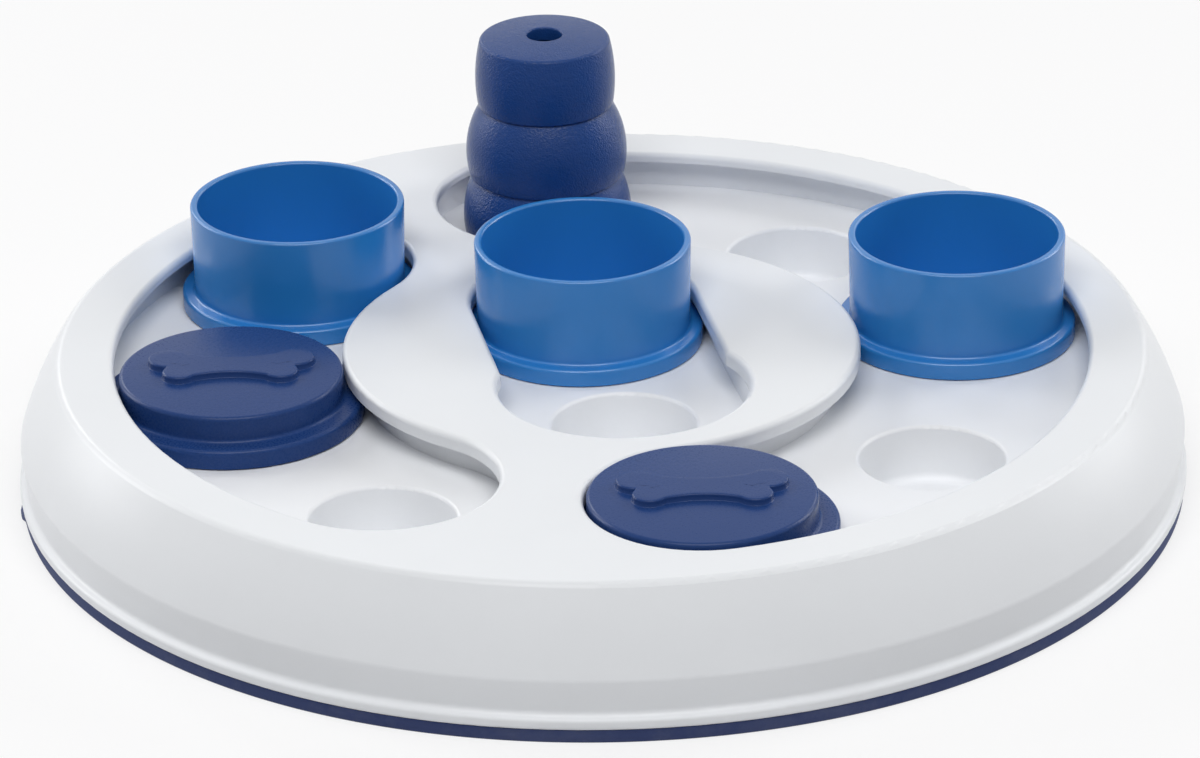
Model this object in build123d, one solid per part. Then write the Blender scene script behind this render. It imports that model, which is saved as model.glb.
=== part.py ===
from build123d import *
import os
from math import asin, cos, degrees, hypot, radians, sin, sqrt

# Dog puzzle feeder: a round board with sliding cups, sliding lids and a lift-off snack cone.
# Millimetres and degrees. The origin is on the board's axis, in the plane it stands on, and +Z is up.
# Angles are measured from +X, anticlockwise from above.

# Layout of the tracks
track_radius = 79.9  # centre line of both curved tracks
track_half = 24.4  # half the width of every track
right_track_start = -75.4
right_track_end = 96.8
upper_bridge = 14.2  # cover left between the left track and the right track's exit hole
lower_bridge = 18.1  # cover left between the front ends of the curved tracks
straight_heading = -79.3  # direction in which the centre cup slides
straight_shift = 0.9  # of the straight track, back along its heading
straight_aside = 0.6  # of the straight track, to the left of its heading
channel_divider = 0.9  # wall between the straight channel's ends and the curved channels
exit_gap = 0.95  # between a cup's flange and the round hole that lets it out
exit_blend = 1.6  # rounding in plan where an exit hole meets its track

# Heights
top_height = 31.6  # top face of the cover
plate = 2.1  # thickness of the cover's top
channel_height = 7.4  # from the tray's floor to the cover's underside
play = 0.2  # under each sliding piece

# Cover
edge_depth = 3.4  # of the collar round the centre island's edges, from the top face
edge_wall = 1.6
edge_round = 1.2  # along the top edge of every track
crest_margin = 6.0  # flat top outside the guide walls
crest_round = 2.0
crest_wall = 1.6
slope_reach = 8.5  # from the crest out to the shoulder
slope_bulge = 0.7
shoulder_height = 13.8
shoulder_round = 2.0
shoulder_wall = 2.7
band_recess = 1.1  # the band's foot, in from the shoulder
band_round = 1.2
lip_rise = 0.8  # from the lip's edge up to the band's foot
lip_depth = 2.2
lip_reach = 0.5  # how far the flared lip stands out past the ring
lip_round = 0.8
skirt_thickness = 2.3

# Non-slip ring
ring_height = 3.0
ring_width = 7.2
ring_round = 0.6
tongue_height = 5.0
tongue_thickness = 1.6
tongue_gap = 0.25  # to the cover's skirt
groove_depth = 0.7
groove_width = 0.9
groove_count = 3
ring_tab_angle = 187.3
ring_tab_length = 6.0
ring_tab_reach = 0.75
ring_tab_margin = 0.4  # below and above the tab

# Tray
tray_floor = 2.0
tray_gap = 0.5  # to the inside of the cover's slope
guide_wall = 1.6
guide_height = 6.0  # of the guide walls above the floor
arc_guide_gap = 0.8  # beside the lids' flanges
straight_guide_gap = 0.85  # beside the centre cup's flange
well_radius = 15.4
well_depth = 12.3
well_draft = 0.6
well_wall = 1.8
well_lip_round = 0.8
well_foot_round = 2.0
well_middle = 13.1  # angle of the middle one of the right track's inner wells
well_pitch = 43.5  # angle between those wells

# Cups
cup_side_gap = 1.3  # from the foot to the edge of the track
cup_draft = 0.4  # how much wider the rim is than the foot
cup_shift = 0.8  # outwards, of the cups at rest in the curved tracks
cup_height = 23.4
cup_wall = 1.6
cup_base = 1.8
cup_flange_reach = 2.75
cup_flange_height = 3.7
cup_lip_round = 0.5
cup_edge_round = 0.7
right_cup_angle = 16.7

# Lids
lid_side_gap = 0.6  # to the edge of the track
lid_height = 10.0
lid_flange_reach = 4.4
lid_flange_height = 4.2
lid_edge_round = 0.9
lid_wall = 2.0
left_pair_gap = 6.5  # between the flanges of the left cup and the left lid

# Bone-shaped grip on each lid
bone_height = 1.5
bone_shift = 1.2  # towards the back, from the lid's centre
bone_far_lobe = (13.5, 2.7, 4.3)  # across, back, radius
bone_near_lobe = (10.8, -4.0, 3.7)
bone_far_waist = 3.4
bone_near_waist = 4.6
bone_notch_round = 0.5
bone_edge_round = 0.45

# Snack cone: three rings, listed from the foot up
cone_angle = 98.3
cone_tops = (15.8, 32.6, 47.9)  # height of each ring's top above the foot
cone_feet = (18.0, 17.2, 15.1)  # radius at each ring's foot
cone_bulges = (18.75, 17.75, 15.55)  # greatest radius of each ring
cone_necks = (16.5, 14.5, 14.4)  # radius at each ring's top
cone_dome = 0.9  # rise of the top face, from its edge to the hole
cone_foot_round = 0.6
cone_top_round = 0.9
cone_wall = 2.2
cone_hole_radius = 3.9
cone_hole_round = 0.4

# Screws and bosses
screw_radius = 1.2
screw_head_radius = 2.1
screw_head_height = 1.5
screw_slot_width = 0.55
screw_slot_depth = 0.7
screw_slot_length = 3.0
thread_gap = 0.05  # between a screw and its boss
clearance_gap = 0.25  # between a screw and the tray
screw_tip_gap = 0.6
boss_radius = 2.4
boss_roof = 1.0  # solid above the hole in a boss, under the cover's top
boss_bite = 0.8  # how far a boss reaches into the cover's wall
rim_boss_gap = 0.15  # to the guide walls
bridge_boss_gap = 2.0
rim_screws = 6
rim_screw_start = 30.0

# Sizes that follow from the ones above
cup_foot_radius = track_half - cup_side_gap
cup_radius = cup_foot_radius + cup_draft
cup_flange_radius = cup_foot_radius + cup_flange_reach
lid_radius = track_half - lid_side_gap
lid_flange_radius = lid_radius + lid_flange_reach
exit_radius = cup_flange_radius + exit_gap
arc_guide_half = lid_flange_radius + arc_guide_gap
straight_guide_half = cup_flange_radius + straight_guide_gap
straight_room = track_radius - arc_guide_half - channel_divider - straight_guide_half
straight_reach = sqrt(straight_room**2 - straight_aside**2) - straight_shift
guide_radius = track_radius + arc_guide_half + guide_wall
crest_radius = guide_radius + crest_margin
shoulder_radius = crest_radius + slope_reach
band_radius = shoulder_radius - band_recess
board_radius = shoulder_radius
lip_radius = board_radius + lip_reach
skirt_radius = band_radius - skirt_thickness
underside = top_height - plate
floor_height = underside - channel_height
slide_height = floor_height + play
seat_height = floor_height - tray_floor
pilot_top = underside - boss_roof
lip_height = ring_height + lip_depth


def polar(radius, angle):
    return radius * cos(radians(angle)), radius * sin(radians(angle))


def off_axis(point, axis=(0, 0)):
    """Distance in plan from a point to an upright axis."""
    return hypot(point.X - axis[0], point.Y - axis[1])


def turn_for(distance):
    """Angle between two places on the curved tracks' centre line that are distance apart."""
    return 2 * degrees(asin(distance / (2 * track_radius)))


def bulged(start, end, bulge):
    """Arc between two points of a section that stands out by bulge in its middle."""
    across = end[0] - start[0]
    up = end[1] - start[1]
    share = bulge / hypot(across, up)
    middle = ((start[0] + end[0]) / 2 - up * share, (start[1] + end[1]) / 2 + across * share)
    return ThreePointArc(start, middle, end)


def rounded(face, points, radius):
    """The face with the corners at the given points rounded."""
    chosen = [v for v in face.vertices() if any(hypot(v.X - x, v.Y - y) < 1e-3 for x, y in points)]
    return fillet(chosen, radius)


def turned(section):
    """Solid of revolution about the Z axis, from a section drawn as radius and height."""
    return revolve(Plane.XZ * section, Axis.Z)


def raised(sketch, bottom, top):
    return Pos(0, 0, bottom) * extrude(sketch, top - bottom)


def disc(radius, bottom, top):
    return raised(Circle(radius), bottom, top)


def arc_slot(half, start, end):
    return SlotArc(CenterArc((0, 0), track_radius, start, end - start), 2 * half)


def along_straight(distance):
    """Place on the straight track's centre line, at a distance past the point beside the board's axis."""
    x, y = polar(distance, straight_heading)
    aside_x, aside_y = polar(straight_aside, straight_heading + 90)
    return x + aside_x, y + aside_y


def straight_slot(half):
    slot = SlotCenterToCenter(2 * straight_reach, 2 * half, rotation=straight_heading)
    return Pos(*along_straight(-straight_shift)) * slot


left_track_start = right_track_end + turn_for(track_half + exit_radius + upper_bridge)
left_track_end = right_track_start + 360 - turn_for(2 * track_half + lower_bridge)
left_track_middle = (left_track_start + left_track_end) / 2
left_lid_angle = left_track_start + turn_for(cup_flange_radius + lid_flange_radius + left_pair_gap)
left_cup_place = polar(track_radius + cup_shift, left_track_start)
left_lid_place = polar(track_radius, left_lid_angle)
right_cup_place = polar(track_radius + cup_shift, right_cup_angle)
front_lid_place = polar(track_radius, right_track_start)
centre_cup_place = along_straight(-straight_reach - straight_shift)
straight_exit = along_straight(straight_reach - straight_shift)
right_exit = polar(track_radius, right_track_end)
cone_place = polar(track_radius, cone_angle)

inner_wells = [well_middle + well_pitch * step for step in (-1, 0, 1)]
well_angles = [left_track_start, left_track_middle, left_track_end]
well_angles += [right_track_start, *inner_wells, right_track_end]
well_places = [polar(track_radius, angle) for angle in well_angles] + [centre_cup_place, straight_exit]


def bridge_boss(angle_before, angle_after):
    """Place of a boss on a bridge, just inside the round ends of two curved channels."""
    middle = (angle_before + angle_after) / 2
    half_turn = (angle_after - angle_before) / 2
    across, _ = polar(track_radius, half_turn)
    half_chord = track_radius * sin(radians(half_turn))
    to_ends = arc_guide_half + guide_wall + bridge_boss_gap + boss_radius
    return polar(across - sqrt(max(0, to_ends**2 - half_chord**2)), middle)


rim_boss_radius = guide_radius + rim_boss_gap + boss_radius
island_boss_radius = (straight_guide_half + track_radius - arc_guide_half) / 2
rim_angles = [rim_screw_start + 360 * step / rim_screws for step in range(rim_screws)]
screw_places = [polar(rim_boss_radius, angle) for angle in rim_angles]
screw_places += [polar(island_boss_radius, straight_heading + side) for side in (-90, 90)]
screw_places += [bridge_boss(right_track_end, left_track_start)]
screw_places += [bridge_boss(left_track_end, right_track_start + 360)]


def slope_inside(height):
    """Radius inside the cover's slope at a height, without its bulge."""
    top_radius = crest_radius - crest_wall
    foot_radius = shoulder_radius - shoulder_wall
    return top_radius + (foot_radius - top_radius) * (underside - height) / (underside - shoulder_height)


def cover_shell():
    """The cover before its openings are cut: flat top, rounded slope, short skirt and flared lip."""
    crest = (crest_radius, top_height)
    shoulder = (shoulder_radius, shoulder_height)
    band_corner = (band_radius, lip_height + lip_rise)
    lip_top = (lip_radius, lip_height)
    lip_foot = (lip_radius, ring_height)
    outside = Line((0, top_height), crest) + bulged(crest, shoulder, slope_bulge)
    outside += Polyline(shoulder, band_corner, lip_top, lip_foot, (0, ring_height), (0, top_height))
    skin = make_face(outside)
    skin = rounded(skin, [crest], crest_round)
    skin = rounded(skin, [shoulder], shoulder_round)
    skin = rounded(skin, [band_corner], band_round)
    skin = rounded(skin, [lip_top, lip_foot], lip_round)
    inner_crest = (slope_inside(underside), underside)
    inner_shoulder = (slope_inside(shoulder_height), shoulder_height)
    skirt_top = (skirt_radius, shoulder_height - shoulder_wall)
    inside = Line((0, underside), inner_crest) + bulged(inner_crest, inner_shoulder, slope_bulge)
    inside += Polyline(inner_shoulder, skirt_top, (skirt_radius, 0), (0, 0), (0, underside))
    return turned(skin) - turned(make_face(inside))


def with_exit(track, centre, into_track):
    """A track's opening with its round exit hole, the two kinks between them rounded."""
    hole = Pos(*centre) * Rot(0, 0, into_track) * Circle(exit_radius)
    opening = track + hole
    kinks = [v for v in opening.vertices() if abs(off_axis(v, centre) - exit_radius) < 1e-4]
    return fillet(kinks, exit_blend)


def track_openings():
    right = arc_slot(track_half, right_track_start, right_track_end)
    return [
        arc_slot(track_half, left_track_start, left_track_end),
        with_exit(right, right_exit, right_track_end - 90),
        with_exit(straight_slot(track_half), straight_exit, straight_heading + 180),
    ]


def cover_bosses():
    """Pillars for the screws, those at the rim trimmed to end inside the cover's wall."""
    trim = turned(make_face(Polyline(
        (0, floor_height),
        (slope_inside(floor_height) + boss_bite, floor_height),
        (slope_inside(underside) + boss_bite, underside + boss_bite),
        (0, underside + boss_bite),
        (0, floor_height),
    )))
    return [trim & Pos(x, y) * disc(boss_radius, floor_height, top_height) for x, y in screw_places]


def make_top_cover():
    cover = cover_shell()
    openings = track_openings()
    for opening in openings:
        collar = offset(opening, edge_wall) & Circle(track_radius)
        cover += raised(collar, top_height - edge_depth, top_height - edge_round)
    for opening in openings:
        cover -= raised(opening, floor_height, top_height + plate)
    top_edges = cover.faces().sort_by(Axis.Z)[-1].edges()
    cover = fillet([edge for edge in top_edges if off_axis(edge @ 0.5) < guide_radius], edge_round)
    for boss in cover_bosses():
        cover += boss
    for x, y in screw_places:
        cover -= Pos(x, y) * disc(screw_radius + thread_gap, seat_height, pilot_top)
    return cover


def make_non_slip_ring():
    inner_radius = board_radius - ring_width
    tongue_radius = skirt_radius - tongue_gap
    tongue_top = ring_height + tongue_height
    ring = disc(board_radius, 0, ring_height)
    ring = fillet(ring.edges().sort_by(Axis.Z)[0], ring_round)
    tab = RectangleRounded(2 * ring_tab_reach, ring_tab_length, ring_tab_reach * 0.9)
    tab = Rot(0, 0, ring_tab_angle) * Pos(board_radius, 0) * tab
    ring += raised(tab, ring_tab_margin, ring_height - ring_tab_margin)
    ring -= disc(inner_radius, 0, ring_height)
    tongue = Circle(tongue_radius) - Circle(tongue_radius - tongue_thickness)
    ring += raised(tongue, ring_height, tongue_top)
    pitch = ring_width / (groove_count + 1)
    for step in range(groove_count):
        middle = inner_radius + pitch * (step + 1)
        groove = Circle(middle + groove_width / 2) - Circle(middle - groove_width / 2)
        ring -= raised(groove, 0, groove_depth)
    return ring


def well_solid(widen, top):
    """A drafted round well with a rounded foot, or the same made larger all round by a wall."""
    foot = floor_height - well_depth - widen
    foot_corner = (well_radius - well_draft + widen, foot)
    section = make_face(Polyline((0, top), (well_radius + widen, top), foot_corner, (0, foot), (0, top)))
    return turned(rounded(section, [foot_corner], well_foot_round + widen))


def guide_walls():
    """Walls on both sides of every channel, open where two channels meet."""
    outside = Sketch()
    inside = Sketch()
    for start, end in ((left_track_start, left_track_end), (right_track_start, right_track_end)):
        outside += arc_slot(arc_guide_half + guide_wall, start, end)
        inside += arc_slot(arc_guide_half, start, end)
    outside += straight_slot(straight_guide_half + guide_wall)
    inside += straight_slot(straight_guide_half)
    return raised(outside - inside, floor_height, floor_height + guide_height)


def make_tray():
    tray = disc(slope_inside(floor_height) - tray_gap, seat_height, floor_height) + guide_walls()
    for place in well_places:
        tray += Pos(*place) * well_solid(well_wall, seat_height)
    for place in well_places:
        tray -= Pos(*place) * well_solid(0, floor_height)
    floor_edges = tray.edges().filter_by_position(Axis.Z, floor_height - 0.01, floor_height + 0.01)
    lips = [e for e in floor_edges.filter_by(GeomType.CIRCLE) if abs(e.radius - well_radius) < 0.01]
    tray = fillet(lips, well_lip_round)
    for x, y in screw_places:
        tray -= Pos(x, y) * disc(screw_radius + clearance_gap, seat_height, floor_height)
    return tray


def make_cup():
    """An open cup on the Z axis, its flange running under the cover's edges."""
    rim = slide_height + cup_height
    shelf = slide_height + cup_flange_height
    base = slide_height + cup_base
    rim_outside = (cup_radius, rim)
    rim_inside = (cup_radius - cup_wall, rim)
    flange_edge = (cup_flange_radius, shelf)
    flange_root = (cup_foot_radius, shelf)
    base_corner = (cup_foot_radius - cup_wall, base)
    points = [(0, slide_height), (cup_flange_radius, slide_height), flange_edge, flange_root]
    points += [rim_outside, rim_inside, base_corner, (0, base), (0, slide_height)]
    section = rounded(make_face(Polyline(*points)), [rim_outside, rim_inside], cup_lip_round)
    section = rounded(section, [flange_edge, flange_root], cup_edge_round)
    return turned(rounded(section, [base_corner], cup_wall))


def bone_outline():
    """Bone drawn about its own middle: two lobes at each end and a waist with two hollow sides."""
    far_x, far_y, far_radius = bone_far_lobe
    near_x, near_y, near_radius = bone_near_lobe
    far_edge = far_y + far_radius
    near_edge = near_y - near_radius
    shaft = ThreePointArc((-far_x, far_edge), (0, bone_far_waist), (far_x, far_edge))
    shaft += Line((far_x, far_edge), (near_x, near_edge))
    shaft += ThreePointArc((near_x, near_edge), (0, -bone_near_waist), (-near_x, near_edge))
    shaft += Line((-near_x, near_edge), (-far_x, far_edge))
    bone = make_face(shaft)
    for side in (-1, 1):
        bone += Pos(side * far_x, far_y) * Circle(far_radius)
        bone += Pos(side * near_x, near_y) * Circle(near_radius)
    notches = [v for v in bone.vertices() if near_y < v.Y < far_y and abs(v.X) > near_x]
    return fillet(notches, bone_notch_round)


def make_lid():
    """A lid on the Z axis: a flanged disc, hollow below, with a raised bone on top."""
    top = slide_height + lid_height
    shelf = slide_height + lid_flange_height
    hollow_radius = lid_radius - lid_wall
    edge = (lid_radius, top)
    flange_root = (lid_radius, shelf)
    flange_edge = (lid_flange_radius, shelf)
    hollow_corner = (hollow_radius, top - lid_wall)
    points = [(0, top), edge, flange_root, flange_edge, (lid_flange_radius, slide_height)]
    points += [(hollow_radius, slide_height), hollow_corner, (0, top - lid_wall), (0, top)]
    corners = [edge, flange_root, flange_edge, hollow_corner]
    lid = turned(rounded(make_face(Polyline(*points)), corners, lid_edge_round))
    bone = raised(bone_outline(), top - lid_wall / 2, top + bone_height)
    bone = fillet(bone.faces().sort_by(Axis.Z)[-1].edges(), bone_edge_round)
    return lid + Pos(0, bone_shift) * bone


def make_snack_cone():
    """Three rings stacked on the Z axis, open below, with a round hole in the top."""
    feet = [(radius, slide_height + height) for radius, height in zip(cone_feet, (0, *cone_tops))]
    necks = [(radius, slide_height + height) for radius, height in zip(cone_necks, cone_tops)]
    top = slide_height + cone_tops[-1]
    roof = top - cone_wall
    hole_edge = (cone_hole_radius, top + cone_dome)
    outline = Line(hole_edge, necks[-1])
    for foot, neck, widest in zip(feet, necks, cone_bulges):
        outline += ThreePointArc(foot, (widest, (foot[1] + neck[1]) / 2), neck)
    for neck, next_foot in zip(necks, feet[1:]):
        outline += Line(neck, next_foot)
    bore_foot = (cone_feet[0] - cone_wall, slide_height)
    bore_top = (cone_necks[-1] - cone_wall, roof)
    outline += Polyline(feet[0], bore_foot, bore_top, (cone_hole_radius, roof), hole_edge)
    section = rounded(make_face(outline), feet[1:], cone_foot_round)
    section = rounded(section, [necks[-1]], cone_top_round)
    return turned(rounded(section, [hole_edge], cone_hole_round))


def make_screw():
    """A screw on the Z axis, driven in from below, its head against the tray."""
    head_foot = seat_height - screw_head_height
    screw = disc(screw_radius, seat_height, pilot_top - screw_tip_gap)
    screw += disc(screw_head_radius, head_foot, seat_height)
    for turn in (0, 90):
        slot = Rot(0, 0, turn) * Rectangle(screw_slot_length, screw_slot_width)
        screw -= raised(slot, head_foot, head_foot + screw_slot_depth)
    return screw


cup = make_cup()
lid = make_lid()
screw = make_screw()
nodes = {
    "top_cover": make_top_cover(),
    "tray": make_tray(),
    "non_slip_ring": make_non_slip_ring(),
    "cover_screws": Compound(children=[Pos(x, y) * screw for x, y in screw_places]),
    "left_cup": Pos(*left_cup_place) * cup,
    "centre_cup": Pos(*centre_cup_place) * cup,
    "right_cup": Pos(*right_cup_place) * cup,
    "left_lid": Pos(*left_lid_place) * lid,
    "front_lid": Pos(*front_lid_place) * lid,
    "snack_cone": Pos(*cone_place) * make_snack_cone(),
}

os.makedirs("parts", exist_ok=True)
for name, shape in nodes.items():
    export_step(shape, "parts/" + name + ".step")
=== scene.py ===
import math

import bpy
import numpy as np
from bpy.props import FloatProperty, FloatVectorProperty, IntProperty, PointerProperty
from bpy.types import Operator, Panel, PropertyGroup
from mathutils import Matrix, Vector


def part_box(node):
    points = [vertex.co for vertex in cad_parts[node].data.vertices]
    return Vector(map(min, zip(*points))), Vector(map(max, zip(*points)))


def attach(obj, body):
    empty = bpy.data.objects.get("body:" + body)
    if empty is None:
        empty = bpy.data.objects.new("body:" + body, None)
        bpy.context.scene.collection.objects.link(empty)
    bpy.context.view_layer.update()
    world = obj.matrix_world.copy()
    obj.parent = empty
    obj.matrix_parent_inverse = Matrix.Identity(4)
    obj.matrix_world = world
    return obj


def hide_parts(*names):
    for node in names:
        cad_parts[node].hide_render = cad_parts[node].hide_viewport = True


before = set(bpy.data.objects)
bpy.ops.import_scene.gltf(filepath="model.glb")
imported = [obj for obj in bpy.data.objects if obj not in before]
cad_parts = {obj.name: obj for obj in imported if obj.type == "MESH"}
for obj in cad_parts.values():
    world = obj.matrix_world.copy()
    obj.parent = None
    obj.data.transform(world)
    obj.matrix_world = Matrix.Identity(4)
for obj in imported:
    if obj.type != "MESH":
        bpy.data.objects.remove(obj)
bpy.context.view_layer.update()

bl_info = {
    "name": "Dog puzzle feeder",
    "version": (1, 0, 0),
    "blender": (4, 5, 0),
    "location": "View3D > Sidebar > Feeder",
    "description": "Dresses a round treat board with sliding cups and lids, a snack cone and a studio",
    "category": "Object",
}

MM = 0.001
CREASE = math.radians(50)  # an edge that turns more than this is shaded sharp
WHITE = (1.0, 1.0, 1.0)

CUPS = ("left_cup", "centre_cup", "right_cup")
LIDS = ("left_lid", "front_lid")


# ---------------------------------------------------------------- settings

def length(name, description, default_mm):
    return FloatProperty(name=name, description=description, default=default_mm * MM,
                         min=0.0, unit="LENGTH", subtype="DISTANCE", precision=5)


def colour(name, description, default):
    return FloatVectorProperty(name=name, description=description, default=default,
                               min=0.0, max=1.0, subtype="COLOR", size=3)


def power(name, description, default):
    return FloatProperty(name=name, description=description, default=default, min=0.0, unit="POWER")


def faces_round(description, default):
    return IntProperty(name="Segments", description=description, default=default, min=24)


class FeederBoardSettings(PropertyGroup):
    cover_colour: colour("Cover", "White plastic of the top cover", (0.808, 0.826, 0.85))
    tray_colour: colour("Tray", "Pale grey plastic of the inner tray", (0.862, 0.875, 0.898))
    steel_colour: colour("Screws", "Zinc-plated steel of the cover screws", (0.60, 0.60, 0.61))


class FeederRingSettings(PropertyGroup):
    colour: colour("Ring", "Navy rubber of the non-slip ring", (0.024, 0.040, 0.125))
    outer: length("Radius", "Outer radius of the ring", 125.0)
    width: length("Width", "Width of the ring's foot", 7.2)
    height: length("Height", "Height of the ring below the cover's lip", 3.0)
    round: length("Rounding", "Rounding of the ring's lower edge", 0.6)
    tongue_outer: length("Tongue radius", "Outer radius of the tongue inside the cover", 121.25)
    tongue: length("Tongue", "Thickness of the tongue", 1.6)
    tongue_height: length("Tongue height", "Height of the tongue above the ring", 5.0)
    groove: length("Groove width", "Width of each groove in the underside", 0.9)
    groove_depth: length("Groove depth", "Depth of each groove in the underside", 0.7)
    tab_angle: FloatProperty(name="Tab angle", description="Where the pull tab stands out",
                             default=math.radians(187.3), subtype="ANGLE")
    tab_length: length("Tab length", "Length of the pull tab along the ring", 6.0)
    tab_reach: length("Tab reach", "How far the pull tab stands out", 0.75)
    segments: faces_round("Faces round the ring", 512)


class FeederCupSettings(PropertyGroup):
    colour: colour("Cups", "Blue plastic of the cups", (0.020, 0.192, 0.535))
    foot: length("Foot radius", "Outer radius of the wall at its foot", 23.1)
    rim: length("Rim radius", "Outer radius of the rim", 23.5)
    wall: length("Wall", "Thickness of the wall", 1.6)
    base: length("Base", "Thickness of the base", 1.8)
    flange: length("Flange radius", "Outer radius of the flange", 25.85)
    flange_height: length("Flange height", "Height of the flange's top above the slide plane", 3.7)
    lip_round: length("Lip rounding", "Rounding of the rim", 0.5)
    edge_round: length("Flange rounding", "Rounding of the flange and of its root", 0.7)
    gate: length("Gate mark", "Radius of the moulding gate's dimple in the base", 1.6)
    segments: faces_round("Faces round each cup", 192)


class FeederLidSettings(PropertyGroup):
    colour: colour("Lids", "Navy plastic of the lids", (0.015, 0.048, 0.178))
    radius: length("Radius", "Radius of the raised disc", 23.8)
    flange: length("Flange radius", "Outer radius of the flange", 28.2)
    height: length("Height", "Height of the disc above the slide plane", 10.0)
    flange_height: length("Flange height", "Height of the flange's top above the slide plane", 4.2)
    wall: length("Wall", "Thickness of the disc", 2.0)
    edge_round: length("Rounding", "Rounding of the disc's and the flange's edges", 0.9)
    bone_height: length("Bone height", "How far the bone-shaped grip stands up", 1.5)
    bone_shift: length("Bone shift", "How far the grip lies back from the lid's middle", 1.2)
    bone_round: length("Bone rounding", "Rounding of the grip's upper edge", 0.45)
    segments: faces_round("Faces round each lid", 192)


class FeederConeSettings(PropertyGroup):
    colour: colour("Cone", "Navy plastic of the snack cone", (0.0105, 0.052, 0.212))
    wall: length("Wall", "Thickness of the cone's wall", 2.2)
    hole: length("Hole", "Radius of the hole in the top", 3.9)
    dome: length("Dome", "Rise of the top from its edge to the hole", 0.9)
    foot_round: length("Step rounding", "Rounding where one ring stands on the next", 0.6)
    top_round: length("Top rounding", "Rounding of the top edge", 0.9)
    segments: faces_round("Faces round the cone", 192)


class FeederStageSettings(PropertyGroup):
    floor_colour: colour("Floor", "Pale floor of the studio", (0.90, 0.90, 0.91))
    floor_white: FloatProperty(
        name="Floor white", description="Share of plain white in the floor as it is seen",
        default=0.72, min=0.0, max=1.0, subtype="FACTOR")
    sky: FloatProperty(
        name="Room light", description="Strength of the light from all round", default=0.04, min=0.0)
    main: power("Main light", "Power of the large soft light above and in front", 7.0)
    upper_rear: power("Upper rear light", "Power of the soft light above the back", 0.6)
    left: power("Left light", "Power of the tall soft light on the left", 5.2)
    right: power("Right light", "Power of the tall soft light on the right", 5.2)
    rear_left: power("Rear left light", "Power of the edge light behind on the left", 2.0)
    rear_right: power("Rear right light", "Power of the edge light behind on the right", 1.0)


SETTINGS = {
    "feeder_board": FeederBoardSettings,
    "feeder_ring": FeederRingSettings,
    "feeder_cups": FeederCupSettings,
    "feeder_lids": FeederLidSettings,
    "feeder_cone": FeederConeSettings,
    "feeder_stage": FeederStageSettings,
}


# ---------------------------------------------------------------- shapes

STRAIGHT = math.pi / 2 - 0.01  # half the angle of a corner that is nearly flat


def rounded_profile(corners, steps=6):
    """Polyline of (radius, height) corners, each with its own rounding.

    A corner with a rounding is replaced by the circular arc tangent to its two sides: the arc starts
    at rounding / tan(half the corner's angle) before the corner, and its centre lies on the bisector.
    A corner that hardly turns stays as it is."""
    points = np.array([corner[:2] for corner in corners], float)
    out = [points[:1]]
    for index in range(1, len(points) - 1):
        corner = points[index]
        size = corners[index][2]
        back = points[index - 1] - corner
        ahead = points[index + 1] - corner
        back /= np.linalg.norm(back)
        ahead /= np.linalg.norm(ahead)
        half = math.acos(float(np.clip(back @ ahead, -1, 1))) / 2
        if size <= 0 or half > STRAIGHT:
            out.append(corner[None])
            continue
        reach = size / math.tan(half)
        middle = (back + ahead) / np.linalg.norm(back + ahead)
        centre = corner + middle * size / math.sin(half)
        first = corner + back * reach - centre
        sweep = math.pi - 2 * half
        turn = 1.0 if first[1] * back[0] - first[0] * back[1] > 0 else -1.0
        angles = np.linspace(0, sweep, steps + 1) * turn
        cos, sin = np.cos(angles), np.sin(angles)
        arc = np.stack([cos * first[0] - sin * first[1], sin * first[0] + cos * first[1]], 1)
        out.append(arc + centre)
    out.append(points[-1:])
    return np.concatenate(out)


def circle_through(start, middle, end):
    """Centre and radius of the circle through three points, all equally far from the centre."""
    (ax, ay), (bx, by), (cx, cy) = start, middle, end
    matrix = np.array([[bx - ax, by - ay], [cx - ax, cy - ay]]) * 2
    start_square = ax * ax + ay * ay
    right = np.array([bx * bx + by * by - start_square, cx * cx + cy * cy - start_square])
    x, y = np.linalg.solve(matrix, right)
    return x, y, math.hypot(ax - x, ay - y)


def meetings(first, second):
    """The two points where circles (x, y, radius) cross.

    They lie (d^2 + r^2 - s^2) / 2d along the line of centres, and the rest of r square to it."""
    apart = math.hypot(second[0] - first[0], second[1] - first[1])
    along = (apart ** 2 + first[2] ** 2 - second[2] ** 2) / (2 * apart)
    aside = math.sqrt(max(0.0, first[2] ** 2 - along ** 2))
    ux, uy = (second[0] - first[0]) / apart, (second[1] - first[1]) / apart
    foot = (first[0] + ux * along, first[1] + uy * along)
    return [(foot[0] - uy * side * aside, foot[1] + ux * side * aside) for side in (-1, 1)]


def arc_between(circle, start, end, turn, steps):
    """Points of a circle (x, y, radius) between two of its points, anticlockwise where turn is 1."""
    x, y, radius = circle
    first = math.atan2(start[1] - y, start[0] - x)
    sweep = (math.atan2(end[1] - y, end[0] - x) - first) * turn % math.tau * turn
    angles = first + np.linspace(0, sweep, steps + 1)
    return np.stack([x + radius * np.cos(angles), y + radius * np.sin(angles)], 1)


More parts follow.
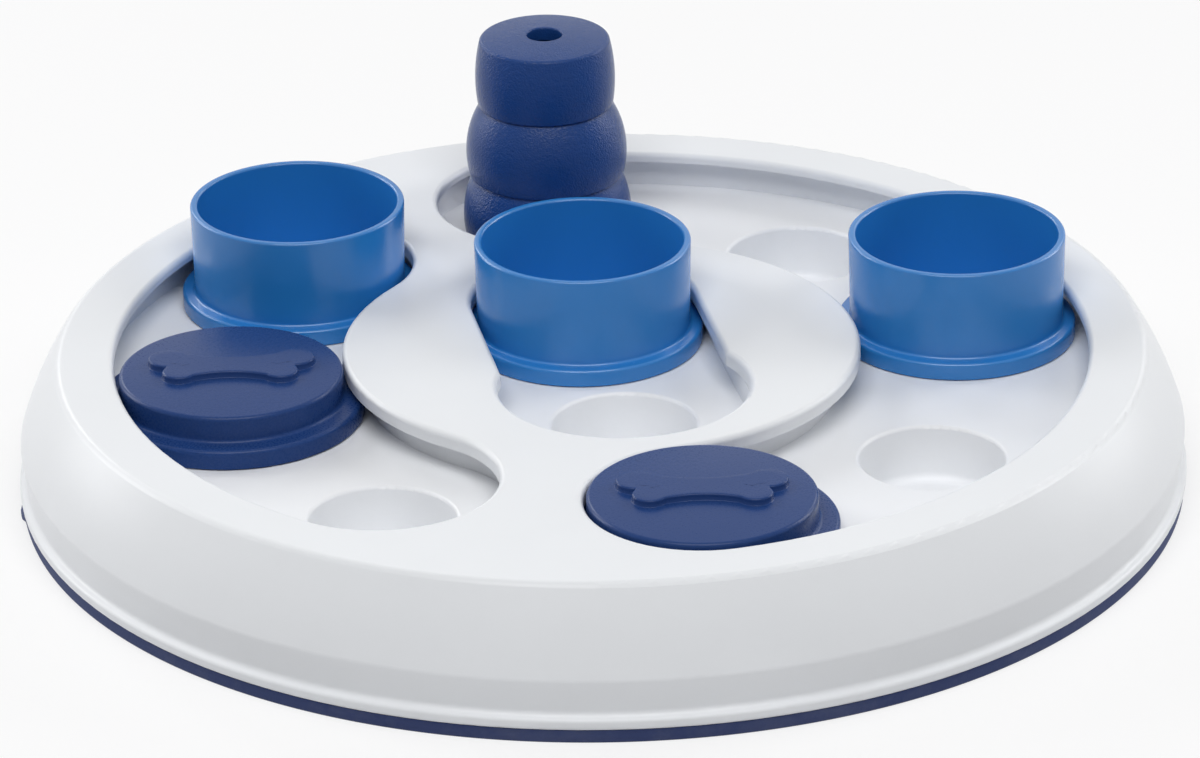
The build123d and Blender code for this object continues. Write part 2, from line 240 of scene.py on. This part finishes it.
def lathe(profile, segments, closed=False):
    """Vertices and faces of a profile turned about the Z axis.

    Vertex (i, j) is (r_i cos a_j, r_i sin a_j, z_i) with a_j = 2 pi j / segments. An open profile
    starts and ends on the axis, where its row shrinks to one vertex; a closed one joins its last row
    to its first."""
    angles = np.arange(segments) * math.tau / segments
    ring = profile if closed else profile[1:-1]
    grid = np.empty((len(ring), segments, 3))
    grid[..., 0] = ring[:, :1] * np.cos(angles)
    grid[..., 1] = ring[:, :1] * np.sin(angles)
    grid[..., 2] = ring[:, 1:]
    vertices = grid.reshape(-1, 3)
    rows = len(ring)
    last = rows if closed else rows - 1
    low = np.arange(last)[:, None] * segments
    high = (np.arange(1, last + 1)[:, None] % rows) * segments
    here = np.arange(segments)[None]
    there = (here + 1) % segments
    quads = np.stack([low + here, low + there, high + there, high + here], -1).reshape(-1, 4)
    if closed:
        return vertices, quads, np.empty((0, 3), int)
    poles = np.array([[0, 0, profile[0, 1]], [0, 0, profile[-1, 1]]])
    first = len(vertices)
    vertices = np.concatenate([vertices, poles])
    here, there = here[0], there[0]
    under = np.stack([there, here, np.full(segments, first)], -1)
    top = (rows - 1) * segments
    over = np.stack([top + here, top + there, np.full(segments, first + 1)], -1)
    return vertices, quads, np.concatenate([under, over])


def outward(vertices, quads, triangles):
    """The faces, turned round if the volume they enclose comes out negative.

    The volume is a sixth of the sum over triangles of a . (b x c)."""
    split = np.concatenate([quads[:, [0, 1, 2]], quads[:, [0, 2, 3]], triangles])
    a, b, c = (vertices[split[:, k]] for k in range(3))
    if np.einsum("ij,ij->i", a, np.cross(b, c)).sum() < 0:
        return quads[:, ::-1], triangles[:, ::-1]
    return quads, triangles


def join_shells(*shells):
    """One vertex list and two face lists from several shells, with later indices moved up."""
    vertices, quads, triangles, start = [], [], [], 0
    for shell_vertices, shell_quads, shell_triangles in shells:
        shell_quads, shell_triangles = outward(shell_vertices, shell_quads, shell_triangles)
        vertices.append(shell_vertices)
        quads.append(shell_quads + start)
        triangles.append(shell_triangles + start)
        start += len(shell_vertices)
    return np.concatenate(vertices), np.concatenate(quads), np.concatenate(triangles)


def make_piece(name, shells, place, material):
    """A mesh object from shells drawn about the Z axis, moved to its place in the mesh itself."""
    vertices, quads, triangles = join_shells(*shells)
    vertices = vertices + np.array(place)
    mesh = bpy.data.meshes.new(name)
    loops = np.concatenate([quads.ravel(), triangles.ravel()]).astype(np.int32)
    sizes = np.concatenate([np.full(len(quads), 4), np.full(len(triangles), 3)])
    starts = np.concatenate([[0], np.cumsum(sizes)[:-1]]).astype(np.int32)
    mesh.vertices.add(len(vertices))
    mesh.vertices.foreach_set("co", vertices.astype(np.float32).ravel())
    mesh.loops.add(len(loops))
    mesh.loops.foreach_set("vertex_index", loops)
    mesh.polygons.add(len(sizes))
    mesh.polygons.foreach_set("loop_start", starts)
    mesh.update(calc_edges=True)
    mesh.validate()
    mesh.polygons.foreach_set("use_smooth", np.ones(len(mesh.polygons), bool))
    mesh.set_sharp_from_angle(angle=CREASE)
    mesh.materials.append(material)
    piece = bpy.data.objects.new(name, mesh)
    bpy.context.scene.collection.objects.link(piece)
    return piece


def node_place(node):
    """Middle of a node in plan, at its lowest height, in metres."""
    low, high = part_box(node)
    return (low.x + high.x) / 2, (low.y + high.y) / 2, low.z


# ---------------------------------------------------------------- materials

class Wire:
    """A node's output whose arithmetic adds Math nodes to the same tree."""

    def __init__(self, finish, socket):
        self.finish = finish
        self.socket = socket

    def _math(self, operation, first, second):
        return self.finish.node("ShaderNodeMath", {"operation": operation}, {0: first, 1: second})

    def __add__(self, other):
        return self._math("ADD", self, other)

    def __sub__(self, other):
        return self._math("SUBTRACT", self, other)

    def __rsub__(self, other):
        return self._math("SUBTRACT", other, self)

    def __mul__(self, other):
        return self._math("MULTIPLY", self, other)

    def limited(self):
        """The value, kept between 0 and 1."""
        return self.finish.node("ShaderNodeMath", {"operation": "MINIMUM"}, {0: self, 1: 1.0})

    __radd__ = __add__
    __rmul__ = __mul__


class Finish:
    """A material or world being built: its node tree, its object coordinates and their patterns."""

    def __init__(self, owner):
        self.owner = owner
        owner.use_nodes = True
        self.tree = owner.node_tree
        self.tree.nodes.clear()
        self.place = self.node("ShaderNodeTexCoord", output="Object")

    def node(self, kind, settings=None, inputs=None, output=0):
        """Any node: its settings first, then the values or links of its sockets."""
        node = self.tree.nodes.new(kind)
        for key, value in (settings or {}).items():
            if key == "stops":
                ramp = node.color_ramp
                while len(ramp.elements) < len(value):
                    ramp.elements.new(0.5)
                for element, (position, shade) in zip(ramp.elements, value):
                    element.position = position
                    element.color = (shade, shade, shade, 1.0)
            else:
                setattr(node, key, value)
        for key, value in (inputs or {}).items():
            socket = node.inputs[key]
            if isinstance(value, Wire):
                self.tree.links.new(value.socket, socket)
            elif socket.type == "RGBA":
                socket.default_value = (*value, 1.0)
            else:
                socket.default_value = value
        return Wire(self, node.outputs[output])

    def noise(self, scale, detail=2.0, stretch=None, roughness=0.5):
        """Smooth noise with a number of cells a metre, squeezed along the axes by stretch."""
        place = self.place
        if stretch:
            place = self.node("ShaderNodeMapping", {}, {"Vector": place, "Scale": stretch})
        return self.node("ShaderNodeTexNoise", {}, {
            "Vector": place, "Scale": scale, "Detail": detail, "Roughness": roughness})

    def ramp(self, value, *stops):
        return self.node("ShaderNodeValToRGB", {"stops": stops}, {"Fac": value})

    def mixed(self, first, second, share):
        """Colour between two, by a share from 0 to 1."""
        return self.node("ShaderNodeMix", {"data_type": "RGBA"}, {0: share, 6: first, 7: second}, 2)

    def bump(self, height, depth):
        return self.node("ShaderNodeBump", {}, {"Height": height, "Distance": depth, "Strength": 1.0})

    def seen(self):
        """1 for a ray from the camera, off gloss or through glass, and 0 for the rest."""
        share = 0.0
        for ray in ("Is Camera Ray", "Is Glossy Ray", "Is Transmission Ray"):
            share = self.node("ShaderNodeLightPath", output=ray) + share
        return share.limited()

    def surface(self, shader):
        """The shader on the owner's output."""
        kind = "World" if isinstance(self.owner, bpy.types.World) else "Material"
        output = self.tree.nodes.new("ShaderNodeOutput" + kind)
        self.tree.links.new(shader.socket, output.inputs["Surface"])
        return self.owner


def shaded(colour, factor):
    return tuple(min(1.0, channel * factor) for channel in colour)


def paled(colour, share):
    return tuple(channel + (1.0 - channel) * share for channel in colour)


MIDDLE = 0.5  # mean of a noise
DRIFT_CELLS = 28.0  # slow change of tone, in cells a metre
DRIFT_STOPS = (0.38, 0.0), (0.66, 1.0)
COARSE_SCALE, COARSE_SHARE = 0.31, 0.35  # the grain's coarser part, against its finer one
SPECK_SCALE = 0.16  # handling marks, against the grain
SPECK_EDGE = 0.05  # how softly a mark begins
MARK_DULLING = 0.1  # how much rougher a mark is
DRIFT_DULLING = 0.6  # the drift's part in the spread of roughness


def moulded_plastic(name, colour, gloss, specular, grain, tone, scuffs):
    """Injection-moulded plastic: spark-eroded grain, soft tone drift and sparse handling marks.

    gloss is (roughness, spread of roughness); grain is (cells a metre, depth in metres); tone is the
    share by which slow noise darkens the colour; scuffs is (share of paleness, threshold)."""
    roughness, spread = gloss
    cells, depth = grain
    paleness, threshold = scuffs
    finish = Finish(bpy.data.materials.new(name))
    drift = finish.noise(DRIFT_CELLS, 3.0)
    fine = finish.noise(cells, 2.0)
    coarse = finish.noise(cells * COARSE_SCALE, 2.0)
    base = finish.mixed(colour, shaded(colour, 1.0 - tone), finish.ramp(drift, *DRIFT_STOPS))
    speck = finish.noise(cells * SPECK_SCALE, 4.0, roughness=0.75)
    marks = finish.ramp(speck, (threshold, 0.0), (threshold + SPECK_EDGE, 1.0))
    base = finish.mixed(base, paled(colour, paleness), marks)
    rough = (roughness + (fine - MIDDLE) * spread + (drift - MIDDLE) * (spread * DRIFT_DULLING)
             + marks * MARK_DULLING)
    height = fine * (1.0 - COARSE_SHARE) + coarse * COARSE_SHARE
    return finish.surface(finish.node("ShaderNodeBsdfPrincipled", {}, {
        "Base Color": base,
        "Roughness": rough,
        "Specular IOR Level": specular,
        "Normal": finish.bump(height, depth),
    }))


def ring_rubber(name, colour, gloss=(0.62, 0.16), specular=0.35, grain=(2600.0, 0.00006),
                dust=(45.0, 0.035)):
    """Matt rubber: close grain and a dusty paling in slow patches.

    gloss and grain are as for plastic; dust is (cells a metre, share of paleness)."""
    finish = Finish(bpy.data.materials.new(name))
    close = finish.noise(grain[0], 3.0)
    patches = finish.ramp(finish.noise(dust[0], 5.0, roughness=0.7), (0.46, 0.0), (0.72, 1.0))
    base = finish.mixed(colour, paled(colour, dust[1]), patches)
    return finish.surface(finish.node("ShaderNodeBsdfPrincipled", {}, {
        "Base Color": base,
        "Roughness": gloss[0] + close * gloss[1],
        "Specular IOR Level": specular,
        "Normal": finish.bump(close, grain[1]),
    }))


def plated_steel(name, colour, gloss=(0.26, 0.22), lines=(900.0, 0.00002), cloud=(420.0, 0.72)):
    """Zinc-plated steel: fine turning lines across the heads and a cloudy passivation.

    gloss is as for plastic; lines is (cells a metre, depth in metres); cloud is (cells a metre,
    shade)."""
    finish = Finish(bpy.data.materials.new(name))
    turned = finish.noise(lines[0], 2.0, stretch=(1.0, 1.0, 6.0))
    haze = finish.noise(cloud[0], 3.0)
    base = finish.mixed(colour, shaded(colour, cloud[1]), finish.ramp(haze, (0.35, 0.0), (0.7, 1.0)))
    return finish.surface(finish.node("ShaderNodeBsdfPrincipled", {}, {
        "Base Color": base,
        "Metallic": 1.0,
        "Roughness": gloss[0] + haze * gloss[1],
        "Normal": finish.bump(turned, lines[1]),
    }))


def dress(node, material):
    """The material on a node that keeps its own mesh."""
    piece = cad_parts[node]
    piece.data.materials.clear()
    piece.data.materials.append(material)


# ---------------------------------------------------------------- operators

class FEEDER_OT_board(Operator):
    """Give the cover, the tray and the screws their finishes"""

    bl_idname = "feeder.board"
    bl_label = "Board"

    def execute(self, context):
        board = context.scene.feeder_board
        dress("top_cover", moulded_plastic(
            "white_satin", board.cover_colour, gloss=(0.38, 0.10), specular=0.42,
            grain=(1500.0, 0.000012), tone=0.02, scuffs=(0.25, 0.76)))
        dress("tray", moulded_plastic(
            "pale_grey_satin", board.tray_colour, gloss=(0.40, 0.12), specular=0.40,
            grain=(1300.0, 0.000016), tone=0.03, scuffs=(0.3, 0.74)))
        dress("cover_screws", plated_steel("zinc_plate", board.steel_colour))
        return {"FINISHED"}


class FEEDER_OT_ring(Operator):
    """Turn the navy non-slip ring, with its tongue, grooves and pull tab"""

    bl_idname = "feeder.ring"
    bl_label = "Non-slip ring"

    GROOVES = 3
    GROOVE_MOUTH, GROOVE_ROOT = 0.12 * MM, 0.2 * MM  # roundings
    OUTER_ROUND, INNER_ROUND, TONGUE_ROUND = 0.15 * MM, 0.2 * MM, 0.3 * MM
    ARC_STEPS = 3
    TAB_POWER = 12  # how sharply the tab ends
    TAB_SHARE = 0.38  # half the tab's height, as a share of the ring's

    def execute(self, context):
        ring = context.scene.feeder_ring
        inner = ring.outer - ring.width
        pitch = ring.width / (self.GROOVES + 1)
        tongue_inner = ring.tongue_outer - ring.tongue
        top = ring.height + ring.tongue_height
        corners = [(inner, 0.0, 0.0)]
        for step in range(1, self.GROOVES + 1):
            middle = inner + pitch * step
            left, right = middle - ring.groove / 2, middle + ring.groove / 2
            corners += [
                (left, 0.0, self.GROOVE_MOUTH), (left, ring.groove_depth, self.GROOVE_ROOT),
                (right, ring.groove_depth, self.GROOVE_ROOT), (right, 0.0, self.GROOVE_MOUTH),
            ]
        corners += [
            (ring.outer, 0.0, ring.round), (ring.outer, ring.height, self.OUTER_ROUND),
            (ring.tongue_outer, ring.height, 0.0), (ring.tongue_outer, top, self.TONGUE_ROUND),
            (tongue_inner, top, self.TONGUE_ROUND), (tongue_inner, ring.height, 0.0),
            (inner, ring.height, self.INNER_ROUND), (inner, 0.0, 0.0),
        ]
        profile = rounded_profile(corners, self.ARC_STEPS)[:-1]
        vertices, quads, triangles = lathe(profile, ring.segments, closed=True)
        vertices = self.with_tab(vertices, ring)
        material = ring_rubber("navy_rubber", ring.colour)
        shell = (vertices, quads, triangles)
        piece = make_piece("ring_rubber_foot", [shell], (0, 0, 0), material)
        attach(piece, "board")
        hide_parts("non_slip_ring")
        return {"FINISHED"}

    @classmethod
    def with_tab(cls, vertices, ring):
        """The outer wall pushed out at the tab: reach times a flat-topped window along the ring,
        1 / (1 + (distance / half length) ** 12), times the same kind of window over the height."""
        radius = np.hypot(vertices[:, 0], vertices[:, 1])
        angle = np.arctan2(vertices[:, 1], vertices[:, 0]) - ring.tab_angle
        along = np.angle(np.exp(1j * angle)) * ring.outer / (ring.tab_length / 2)
        up = (vertices[:, 2] - ring.height / 2) / (ring.height * cls.TAB_SHARE)
        window = 1 / (1 + along ** cls.TAB_POWER) / (1 + up ** cls.TAB_POWER)
        push = np.where(radius > ring.outer - ring.round, ring.tab_reach * window, 0.0)
        moved = vertices.copy()
        moved[:, :2] *= (1 + push / radius)[:, None]
        return moved


class FEEDER_OT_cups(Operator):
    """Turn the three open cups with their flanges"""

    bl_idname = "feeder.cups"
    bl_label = "Treat cups"

    FOOT_ROUND = 0.25 * MM
    GATE_DEPTH, GATE_SLOPE, GATE_ROUND = 0.3 * MM, 0.2 * MM, 0.15 * MM

    def execute(self, context):
        cup = context.scene.feeder_cups
        material = moulded_plastic(
            "blue_satin", cup.colour, gloss=(0.24, 0.09), specular=0.56,
            grain=(2100.0, 0.000013), tone=0.05, scuffs=(0.12, 0.75))
        for node in CUPS:
            low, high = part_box(node)
            top = high.z - low.z
            dimple = cup.base - self.GATE_DEPTH
            corners = [
                (0, 0, 0), (cup.flange, 0, self.FOOT_ROUND),
                (cup.flange, cup.flange_height, cup.edge_round),
                (cup.foot, cup.flange_height, cup.edge_round), (cup.rim, top, cup.lip_round),
                (cup.rim - cup.wall, top, cup.lip_round), (cup.foot - cup.wall, cup.base, cup.wall),
                (cup.gate, cup.base, self.GATE_ROUND),
                (cup.gate - self.GATE_SLOPE, dimple, self.GATE_ROUND), (0, dimple, 0),
            ]
            shell = lathe(rounded_profile(corners), cup.segments)
            piece = make_piece(node + "_shell", [shell], node_place(node), material)
            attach(piece, node)
            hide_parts(node)
        return {"FINISHED"}


class FEEDER_OT_lids(Operator):
    """Turn the two sliding lids and set the bone-shaped grip on each"""

    bl_idname = "feeder.lids"
    bl_label = "Sliding lids"

    HOLLOW_ROUND, FOOT_ROUND = 0.2 * MM, 0.3 * MM  # the lower edges, inside and outside
    # The bone, in millimetres: each lobe's circle (across, back, radius) and the waist's half widths.
    FAR_LOBE = (13.5, 2.7, 4.3)
    NEAR_LOBE = (10.8, -4.0, 3.7)
    FAR_WAIST = 3.4
    NEAR_WAIST = 4.6
    ARC_STEPS = 160
    OUTLINE_POINTS = 480
    SOFTNESS, SOFT_REACH = 0.25, 12  # of the notches: millimetres, and points to each side
    SUNK = -0.7  # the grip's underside, in the lid
    FOOT_ROWS = (0.1, SUNK), (-0.22, -0.02), (-0.10, 0.03), (-0.02, 0.14)  # (inwards, up) of the fillet
    WALL_INSET = 0.04
    ROUND_ROWS = 6
    SPINE_SHARE = 0.62  # the spine's length, as a share of the outline's
    SPINE_STEPS = (0.2, 0.5, 1.0)

    def execute(self, context):
        lid = context.scene.feeder_lids
        material = moulded_plastic(
            "navy_satin", lid.colour, gloss=(0.28, 0.12), specular=0.15,
            grain=(2000.0, 0.000026), tone=0.06, scuffs=(0.14, 0.735))
        hollow = lid.radius - lid.wall
        ceiling = lid.height - lid.wall
        corners = [
            (0, ceiling, 0), (hollow, ceiling, lid.edge_round), (hollow, 0, self.HOLLOW_ROUND),
            (lid.flange, 0, self.FOOT_ROUND), (lid.flange, lid.flange_height, lid.edge_round),
            (lid.radius, lid.flange_height, lid.edge_round), (lid.radius, lid.height, lid.edge_round),
            (0, lid.height, 0),
        ]
        disc = lathe(rounded_profile(corners), lid.segments)
        grip = self.bone(lid)
        for node in LIDS:
            piece = make_piece(node + "_disc", [disc, grip], node_place(node), material)
            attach(piece, node)
            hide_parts(node)
        return {"FINISHED"}

    @classmethod
    def outline(cls):
        """Closed outline of the bone in millimetres, evenly spaced and clockwise.

        Its right half is four arcs between the points where their circles meet: far waist, far lobe,
        near lobe, near waist. The left half mirrors it. The notches are softened along the outline by
        the weights exp(-(points / width)^2 / 2)."""
        fx, fy, fr = cls.FAR_LOBE
        nx, ny, nr = cls.NEAR_LOBE
        far_waist = circle_through((-fx, fy + fr), (0, cls.FAR_WAIST), (fx, fy + fr))
        near_waist = circle_through((-nx, ny - nr), (0, -cls.NEAR_WAIST), (nx, ny - nr))
        first = min(meetings(far_waist, cls.FAR_LOBE), key=lambda point: abs(point[0] - fx / 2))
        notch = max(meetings(cls.FAR_LOBE, cls.NEAR_LOBE), key=lambda point: point[0])
        last = min(meetings(near_waist, cls.NEAR_LOBE), key=lambda point: abs(point[0] - nx / 2))
        right = np.concatenate([
            arc_between(far_waist, (0, cls.FAR_WAIST), first, 1, cls.ARC_STEPS),
            arc_between(cls.FAR_LOBE, first, notch, -1, cls.ARC_STEPS)[1:],
            arc_between(cls.NEAR_LOBE, notch, last, -1, cls.ARC_STEPS)[1:],
            arc_between(near_waist, last, (0, -cls.NEAR_WAIST), 1, cls.ARC_STEPS)[1:],
        ])
        loop = np.concatenate([right, right[-2::-1] * np.array([-1, 1])])
        run = np.concatenate([[0], np.cumsum(np.linalg.norm(np.diff(loop, axis=0), axis=1))])
        even = np.linspace(0, run[-1], cls.OUTLINE_POINTS, endpoint=False)
        points = np.stack([np.interp(even, run, loop[:, k]) for k in (0, 1)], 1)
        width = cls.SOFTNESS / (run[-1] / cls.OUTLINE_POINTS)
        reach = np.arange(-cls.SOFT_REACH, cls.SOFT_REACH + 1)
        weight = np.exp(-(reach / width) ** 2 / 2)
        weight /= weight.sum()
        return sum(np.roll(points, shift, axis=0) * share for shift, share in zip(reach, weight))

    @classmethod
    def bone(cls, lid):
        """Closed shell of the grip: the outline, moved inwards along its normal and upwards row by row.

        A small fillet at the foot comes first, then the wall and a quarter round, size (1 - cos a)
        inwards and size (1 - sin a) below the crown. Straight rows to a spine close the crown and the
        underside."""
        edge = cls.outline()
        step = np.roll(edge, -1, axis=0) - np.roll(edge, 1, axis=0)
        inward = np.stack([step[:, 1], -step[:, 0]], 1)
        inward /= np.linalg.norm(inward, axis=1)[:, None]
        size = lid.bone_round / MM
        crown = lid.bone_height / MM
        count = len(edge)
        middle = (cls.FAR_WAIST - cls.NEAR_WAIST) / 2
        spine = np.stack([edge[:, 0] * cls.SPINE_SHARE, np.full(count, middle)], 1)
        rows = list(cls.FOOT_ROWS)
        for angle in np.radians(np.linspace(0, 90, cls.ROUND_ROWS)):
            inset = size * (1 - math.cos(angle)) + cls.WALL_INSET
            rows.append((inset, crown - size * (1 - math.sin(angle))))
        layers = [np.column_stack([edge + inward * inset, np.full(count, up)]) for inset, up in rows]
        rim = edge + inward * rows[-1][0]
        bottom = edge + inward * rows[0][0]
        for share in cls.SPINE_STEPS:
            over, under = rim + (spine - rim) * share, bottom + (spine - bottom) * share
            layers.append(np.column_stack([over, np.full(count, crown)]))
            layers.insert(0, np.column_stack([under, np.full(count, cls.SUNK)]))
        grid = np.stack(layers)
        grid[..., 1] += lid.bone_shift / MM
        grid *= MM
        grid[..., 2] += lid.height
        vertices = grid.reshape(-1, 3)
        low = np.arange(len(layers) - 1)[:, None] * count
        here = np.arange(count)[None]
        there = (here + 1) % count
        quads = np.stack([low + here, low + there, low + count + there, low + count + here], -1)
        return vertices, quads.reshape(-1, 4), np.empty((0, 3), int)


class FEEDER_OT_cone(Operator):
    """Turn the snack cone: three bulging rings, hollow and open below, with a hole in the top"""

    bl_idname = "feeder.cone"
    bl_label = "Snack cone"

    # The three rings, from below, in millimetres: height of each top, then radius at each foot, bulge
    # and top.
    TOPS = (15.8, 32.6, 47.9)
    FEET = (18.0, 17.2, 15.1)
    BULGES = (18.75, 17.75, 15.55)
    NECKS = (16.5, 14.5, 14.4)
    ARC_STEPS = 28
    # Roundings, in millimetres: of the foot, of the hole's upper and lower edge, and of the bore's roof.
    FOOT_ROUND, HOLE_ROUND, UNDER_HOLE_ROUND, ROOF_ROUND = 0.25, 0.4, 0.2, 0.8

    def execute(self, context):
        cone = context.scene.feeder_cone
        material = moulded_plastic(
            "navy_spark_grain", cone.colour, gloss=(0.19, 0.10), specular=0.17,
            grain=(2400.0, 0.000260), tone=0.08, scuffs=(0.22, 0.72))
        shell = lathe(self.profile(cone), cone.segments, closed=True)
        piece = make_piece("snack_cone_shell", [shell], node_place("snack_cone"), material)
        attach(piece, "snack_cone")
        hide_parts("snack_cone")
        return {"FINISHED"}

    @classmethod
    def profile(cls, cone):
        """Closed section of the three rings and the bore.

        Each ring is the arc through its foot, its bulge at mid height and its neck. The steps between
        rings are rounded, and the bore runs straight from the foot to the roof."""
        corners = []
        bottoms = (0, *cls.TOPS[:-1])
        for bottom, top, foot, bulge, neck in zip(bottoms, cls.TOPS, cls.FEET, cls.BULGES, cls.NECKS):
            side = circle_through((foot, bottom), (bulge, (bottom + top) / 2), (neck, top))
            arc = arc_between(side, (foot, bottom), (neck, top), 1, cls.ARC_STEPS)
            sizes = np.zeros(len(arc))
            sizes[0] = cls.FOOT_ROUND if bottom == 0 else cone.foot_round / MM
            if top == cls.TOPS[-1]:
                sizes[-1] = cone.top_round / MM
            corners += [(x * MM, z * MM, s * MM) for (x, z), s in zip(arc, sizes)]
        top = cls.TOPS[-1] * MM
        roof = top - cone.wall
        corners += [
            (cone.hole, top + cone.dome, cls.HOLE_ROUND * MM),
            (cone.hole, roof, cls.UNDER_HOLE_ROUND * MM),
            (cls.NECKS[-1] * MM - cone.wall, roof, cls.ROOF_ROUND * MM),
            (cls.FEET[0] * MM - cone.wall, 0, cls.FOOT_ROUND * MM),
        ]
        return rounded_profile([corners[-1], *corners, corners[0]])[1:-1]


class FEEDER_OT_stage(Operator):
    """Set the pale floor, the soft lights, the room and the camera"""

    bl_idname = "feeder.stage"
    bl_label = "Studio"

    FOCAL_PIXELS = 7000.18
    IMAGE_WIDTH = 1200
    SENSOR = 36.0
    NEAREST = 0.05
    CAMERA = (0.0, -1.366208, 0.649095)
    YAW, PITCH, ROLL = -0.000299, 0.429802, -0.016754
    FLOOR_HALF, FLOOR_LINES = 4.0, 9
    # Each soft light: its name and setting, its two sides and its place.
    LAMPS = (
        ("main", (0.8, 0.5), (0.0, -0.52, 0.88)),
        ("upper_rear", (0.65, 0.55), (0.0, 0.5, 0.85)),
        ("left", (0.4, 0.8), (-0.95, 0.45, 0.45)),
        ("right", (0.4, 0.8), (0.95, 0.45, 0.45)),
        ("rear_left", (0.25, 0.3), (-0.55, 0.95, 0.6)),
        ("rear_right", (0.25, 0.3), (0.55, 0.95, 0.6)),
    )

    def execute(self, context):
        stage = context.scene.feeder_stage
        self.floor(stage)
        self.room(context.scene, stage)
        for name, size, place in self.LAMPS:
            self.lamp(name, getattr(stage, name), size, place)
        self.camera(context.scene)
        return {"FINISHED"}

    def floor(self, stage):
        """Flat grid under the ring, nearly white where it is seen or mirrored, but still shaded."""
        line = np.linspace(-self.FLOOR_HALF, self.FLOOR_HALF, self.FLOOR_LINES)
        x, y = np.meshgrid(line, line)
        vertices = np.stack([x.ravel(), y.ravel(), np.zeros(x.size)], 1)
        index = np.arange(x.size).reshape(x.shape)
        quads = np.stack([index[:-1, :-1], index[:-1, 1:], index[1:, 1:], index[1:, :-1]], -1)
        mesh = bpy.data.meshes.new("studio_floor")
        mesh.from_pydata(vertices.tolist(), [], quads.reshape(-1, 4).tolist())
        floor = bpy.data.objects.new("studio_floor", mesh)
        bpy.context.scene.collection.objects.link(floor)
        finish = Finish(bpy.data.materials.new("studio_paper"))
        paper = finish.node("ShaderNodeBsdfDiffuse", {}, {"Color": stage.floor_colour})
        white = finish.node("ShaderNodeEmission", {}, {"Color": WHITE, "Strength": 1.0})
        mesh.materials.append(finish.surface(finish.node("ShaderNodeMixShader", {}, {
            0: finish.seen() * stage.floor_white, 1: paper, 2: white})))

    @staticmethod
    def room(scene, stage):
        """White where it is seen or mirrored, and a dim light from all round for the rest."""
        world = bpy.data.worlds.new("studio_room")
        scene.world = world
        finish = Finish(world)
        light, white = (
            finish.node("ShaderNodeBackground", {}, {"Color": WHITE, "Strength": strength})
            for strength in (stage.sky, 1.0))
        finish.surface(finish.node("ShaderNodeMixShader", {}, {0: finish.seen(), 1: light, 2: white}))

    @staticmethod
    def lamp(name, power, size, place):
        """Soft rectangular light turned to the object's middle, which the camera doesn't see."""
        lamp = bpy.data.lights.new(name, "AREA")
        lamp.shape = "RECTANGLE"
        lamp.energy = power
        lamp.size, lamp.size_y = size
        holder = bpy.data.objects.new(name, lamp)
        holder.location = place
        holder.rotation_euler = (-Vector(place)).to_track_quat("-Z", "Y").to_euler()
        holder.visible_camera = False
        bpy.context.scene.collection.objects.link(holder)

    @classmethod
    def camera(cls, scene):
        """Camera from its place and its yaw, pitch and roll."""
        forward = Vector((
            math.sin(cls.YAW) * math.cos(cls.PITCH), math.cos(cls.YAW) * math.cos(cls.PITCH),
            -math.sin(cls.PITCH)))
        level = Vector((math.cos(cls.YAW), -math.sin(cls.YAW), 0.0))
        upright = level.cross(forward)
        right = math.cos(cls.ROLL) * level + math.sin(cls.ROLL) * upright
        up = -math.sin(cls.ROLL) * level + math.cos(cls.ROLL) * upright
        data = bpy.data.cameras.new("camera")
        data.sensor_width = cls.SENSOR
        data.lens = cls.FOCAL_PIXELS / cls.IMAGE_WIDTH * cls.SENSOR
        data.clip_start = cls.NEAREST
        holder = bpy.data.objects.new("camera", data)
        pose = Matrix((right, up, -forward)).transposed().to_4x4()
        pose.translation = Vector(cls.CAMERA)
        holder.matrix_world = pose
        scene.collection.objects.link(holder)
        scene.camera = holder
        scene.view_settings.view_transform = "Standard"


class FEEDER_PT_panel(Panel):
    """Buttons and settings of the feeder, in the 3D view's sidebar"""

    bl_idname = "FEEDER_PT_panel"
    bl_label = "Dog puzzle feeder"
    bl_space_type = "VIEW_3D"
    bl_region_type = "UI"
    bl_category = "Feeder"

    def draw(self, context):
        for operator, settings in STEPS:
            column = self.layout.column(align=True)
            column.operator(operator.bl_idname)
            group = getattr(context.scene, settings)
            for key in group.bl_rna.properties.keys():
                if key not in ("rna_type", "name"):
                    column.prop(group, key)


STEPS = (
    (FEEDER_OT_board, "feeder_board"),
    (FEEDER_OT_ring, "feeder_ring"),
    (FEEDER_OT_cups, "feeder_cups"),
    (FEEDER_OT_lids, "feeder_lids"),
    (FEEDER_OT_cone, "feeder_cone"),
    (FEEDER_OT_stage, "feeder_stage"),
)
CLASSES = (*SETTINGS.values(), *(operator for operator, _ in STEPS), FEEDER_PT_panel)


def register():
    for item in CLASSES:
        bpy.utils.register_class(item)
    for name, group in SETTINGS.items():
        setattr(bpy.types.Scene, name, PointerProperty(type=group))


def unregister():
    for name in SETTINGS:
        delattr(bpy.types.Scene, name)
    for item in reversed(CLASSES):
        bpy.utils.unregister_class(item)


def main():
    register()
    for operator, _ in STEPS:
        area, name = operator.bl_idname.split(".")
        getattr(getattr(bpy.ops, area), name)()
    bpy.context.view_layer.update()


if __name__ == "__main__":
    main()
